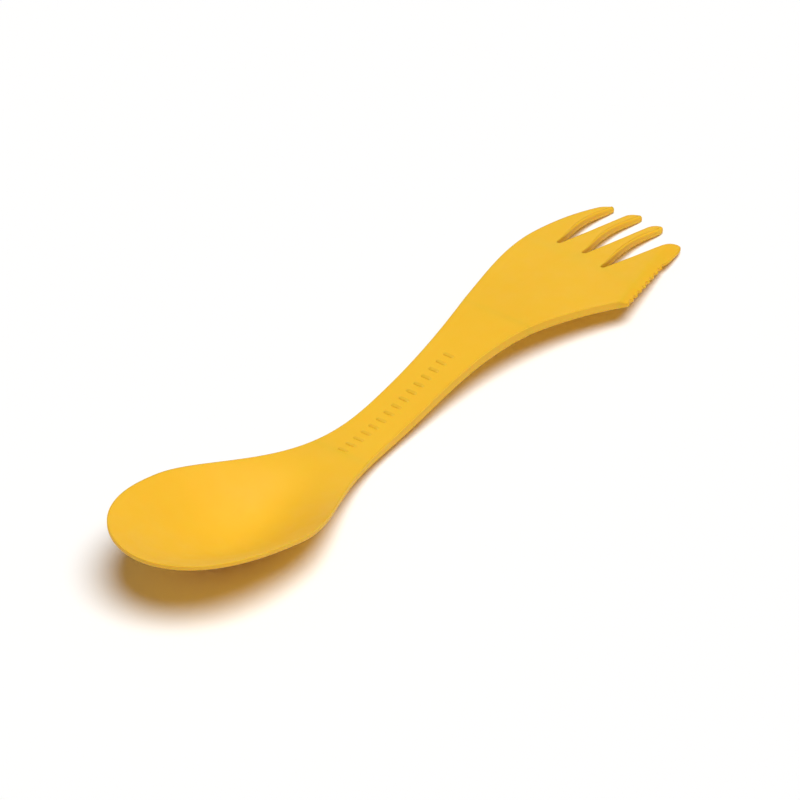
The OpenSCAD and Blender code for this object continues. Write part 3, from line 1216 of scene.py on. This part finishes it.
YELLOW_PLASTIC = MouldedPlastic(
    "yellow_plastic",
    tone=(0.845, 0.482, 0.013),
    deep_tone=(0.82, 0.46, 0.009),
    # Painted shade on the bevel.
    bevel_painted_shade=(0.79, 0.43, 0.0005),
)
YELLOW_MARKS = MouldedPlastic(
    "yellow_marks",
    tone=(0.79, 0.43, 0.01),
    deep_tone=(0.77, 0.41, 0.007),
    # The same bevel shade colour as the plastic's.
    bevel_painted_shade=(0.79, 0.43, 0.0005),
)


@dataclass(frozen=True)
class Moulding:
    """The utensil itself, in the pieces that its CAD nodes name."""

    form: SporkForm

    def build(self, material: bpy.types.Material) -> list[bpy.types.Object]:
        """Makes the skin's pieces.

        Args:
            material: the plastic.

        Returns:
            The pieces, one to a CAD node.
        """
        skin = Skin(self.form)
        faces, owners, normals = skin.finished()
        return [self.piece(skin, piece, faces[owners == piece.value], normals, material)
                for piece in Piece]

    def piece(self, skin: Skin, piece: Piece, outer: np.ndarray, normals: np.ndarray,
              material: bpy.types.Material) -> bpy.types.Object:
        """Makes one closed piece, shaded with the whole surface's normals.

        Args:
            skin: the whole surface.
            piece: which of its pieces.
            outer: the piece's outer faces.
            normals: the whole surface's normals, one to a point.
            material: the plastic.

        Returns:
            The piece.
        """
        walls = skin.closing(outer)
        every = np.concatenate([outer, walls])
        used, own = np.unique(every, return_inverse=True)
        places = (skin.points[used] - [self.form.length / 2, 0, 0]) * MM
        obj = new_object(NODE_OF[piece] + "_skin", places, own.reshape(-1, 3), material)
        # Each point keeps its share of the bevel's painted shade.
        tone = self.form.bevel_painted_shade(*skin.points[used, :2].T)
        bevel = obj.data.attributes.new(BEVEL_SHADE, "FLOAT", "POINT")
        bevel.data.foreach_set("value", tone.astype(np.float32))
        flat = unit(face_areas(skin.points, walls))
        corners = np.concatenate([normals[outer].reshape(-1, 3), np.repeat(flat, 3, axis=0)])
        obj.data.normals_split_custom_set(corners.tolist())
        install(obj, NODE_OF[piece])
        return obj


@dataclass(frozen=True)
class GripMarks:
    """The row of low plain bars on the handle, seated a little way into its top."""

    form: SporkForm
    start: float
    pitch: float
    width: float
    count: int = 15
    length: float = 0.9
    height: float = 0.18
    foot: float = 0.08
    squareness: float = 4.0
    shoulder_power: float = 6.0
    around: int = 48
    up: int = 10

    @classmethod
    def from_frame(cls, form: SporkForm) -> "GripMarks":
        """The bars with their row's place and extent read from the CAD node's box.

        Args:
            form: the sizes of the part.

        Returns:
            The bars.
        """
        low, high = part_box("grip_marks")
        start = low.x / MM + form.length / 2
        pitch = ((high.x - low.x) / MM - cls.length) / (cls.count - 1)
        return cls(form, start, pitch, width=(high.y - low.y) / MM)

    def build(self, material: bpy.types.Material) -> bpy.types.Object:
        """Makes the bars: from a centre point on top, rings spread out to a superellipse's outline
        as the top rounds over, and go down to a foot below the surface, closed by a last point.

        Args:
            material: the marks' plastic.

        Returns:
            One object with all the bars.
        """
        turn = np.radians(np.arange(self.around) * 360 / self.around)
        circle = np.stack([np.cos(turn), np.sin(turn)], axis=1)
        ring = np.sign(circle) * np.abs(circle) ** (2 / self.squareness) * [self.length / 2, self.width / 2]
        reach = np.sin(np.radians(np.linspace(0, 90, self.up + 1)))
        rise = self.height * (1 - reach ** self.shoulder_power)
        reach = np.concatenate([reach, [1.0, 0.0]])
        rise = np.concatenate([rise, [-self.foot, -self.foot]])
        middles = self.start + self.length / 2 + self.pitch * np.arange(self.count)
        u = middles[:, None, None] + reach[None, :, None] * ring[None, None, :, 0]
        v = reach[None, :, None] * ring[None, None, :, 1] * np.ones_like(u)
        z = self.form.top(u, v) + rise[None, :, None]
        points = np.stack([u - self.form.length / 2, v, z], axis=3) * MM
        rows = len(reach)
        place = np.arange(self.count * rows * self.around).reshape(self.count, rows, self.around)
        place[:, 0] = place[:, 0, :1]
        place[:, -1] = place[:, -1, :1]
        grid = np.concatenate([place, place[:, :, :1]], axis=2)
        faces = np.concatenate([grid_triangles(bar) for bar in grid])
        faces = faces[has_three_corners(faces)]
        used, own = np.unique(faces, return_inverse=True)
        obj = new_object("grip_marks_skin", points.reshape(-1, 3)[used], own.reshape(-1, 3), material)
        install(obj, "grip_marks")
        return obj


@dataclass(frozen=True)
class Table:
    """The white surface under the part, which takes its shadow."""

    size: float = 6.0
    tone: tuple[float, float, float] = (0.965, 0.97, 0.98)

    def build(self) -> bpy.types.Object:
        """Makes the floor and its material.

        Returns:
            The floor.
        """
        half = self.size / 2
        corners = np.array([[-half, -half, 0], [half, -half, 0], [half, half, 0], [-half, half, 0]])
        material = bpy.data.materials.new("white_table")
        material.use_nodes = True
        nodes = Nodes(material.node_tree)
        diffuse = nodes.add("ShaderNodeBsdfDiffuse", {"Color": (*self.tone, 1)})
        output = nodes.add("ShaderNodeOutputMaterial")
        nodes.link(diffuse.outputs["BSDF"], output.inputs["Surface"])
        floor = new_object("table_top", corners, np.array([[0, 1, 2], [0, 2, 3]]), material)
        return floor


@dataclass(frozen=True)
class Lighting:
    """A plain white surround and one broad lamp high above the part's cutting side."""

    white: tuple[float, float, float, float] = (1.0, 1.0, 1.0, 1.0)
    seen_level: float = 1.0
    world_level: float = 0.06
    lamp_level: float = 0.98
    lamp_spread: float = 42.0
    lamp_height: float = 72.0
    lamp_bearing: float = -13.0
    lamp_tone: tuple[float, float, float] = (1.0, 0.99, 0.975)

    def build(self) -> bpy.types.Object:
        """Makes the world, white to the camera and in reflections, and the lamp.

        Returns:
            The lamp.
        """
        world = bpy.data.worlds.new("white_surround")
        bpy.context.scene.world = world
        world.use_nodes = True
        nodes = Nodes(world.node_tree)
        plain, seen = (nodes.add("ShaderNodeBackground", {"Color": self.white, "Strength": level})
                       for level in (self.world_level, self.seen_level))
        path = nodes.add("ShaderNodeLightPath")
        either = nodes.add("ShaderNodeMath", operation="MAXIMUM")
        nodes.link(path.outputs["Is Camera Ray"], either.inputs[0])
        nodes.link(path.outputs["Is Glossy Ray"], either.inputs[1])
        nodes.choose(either.outputs["Value"], plain.outputs["Background"], seen.outputs["Background"],
                     "ShaderNodeOutputWorld")
        height, bearing = np.radians(self.lamp_height), np.radians(self.lamp_bearing)
        lamp = bpy.data.lights.new("broad_lamp", "SUN")
        lamp.angle = np.radians(self.lamp_spread)
        lamp.energy = np.pi * self.lamp_level / np.sin(height)
        lamp.color = self.lamp_tone
        holder = bpy.data.objects.new("broad_lamp", lamp)
        bpy.context.scene.collection.objects.link(holder)
        source = Vector((np.sin(bearing) * np.cos(height), -np.cos(bearing) * np.cos(height), np.sin(height)))
        holder.rotation_euler = source.to_track_quat("Z", "Y").to_euler()
        return holder


@dataclass(frozen=True)
class PhotoCamera:
    """The photograph's view: angles in degrees, lengths in millimetres."""

    bearing: float = -49.8
    height: float = 35.3
    roll: float = -3.1
    distance: float = 1843.3
    lens: float = 405.0
    aim_along: float = -1.81
    aim_up: float = 5.865

    def build(self) -> bpy.types.Object:
        """Makes the scene's camera.

        Returns:
            The camera.
        """
        turn, lift, roll = (np.radians(angle) for angle in (self.bearing, self.height, self.roll))
        back = Vector((np.sin(turn) * np.cos(lift), -np.cos(turn) * np.cos(lift), np.sin(lift)))
        right = Vector((np.cos(turn), np.sin(turn), 0))
        up = back.cross(right)
        right, up = right * np.cos(roll) + up * np.sin(roll), up * np.cos(roll) - right * np.sin(roll)
        data = bpy.data.cameras.new("photo_camera")
        data.lens = self.lens
        camera = bpy.data.objects.new("photo_camera", data)
        aim = Vector((self.aim_along, 0, self.aim_up)) * MM
        axes = Matrix((right, up, back)).transposed().to_4x4()
        camera.matrix_world = Matrix.Translation(aim + back * self.distance * MM) @ axes
        bpy.context.scene.collection.objects.link(camera)
        bpy.context.scene.camera = camera
        return camera


def main() -> None:
    """Builds the pieces in order and reports each."""
    logging.basicConfig(level=logging.INFO, format="%(message)s")
    bpy.context.scene.view_settings.view_transform = "Standard"
    form = SporkForm.from_frame()
    grain = MouldedGrain().build()
    plastic, marked = YELLOW_PLASTIC.build(grain), YELLOW_MARKS.build(grain)
    for obj in (*Moulding(form).build(plastic), GripMarks.from_frame(form).build(marked)):
        log.info("built %s, %d triangles", obj.name, len(obj.data.polygons))
    log.info("%s lies under the part", Table().build().name)
    log.info("%s lights it", Lighting().build().name)
    log.info("camera %s looks from the photograph's place", PhotoCamera().build().name)


if __name__ == "__main__":
    main()
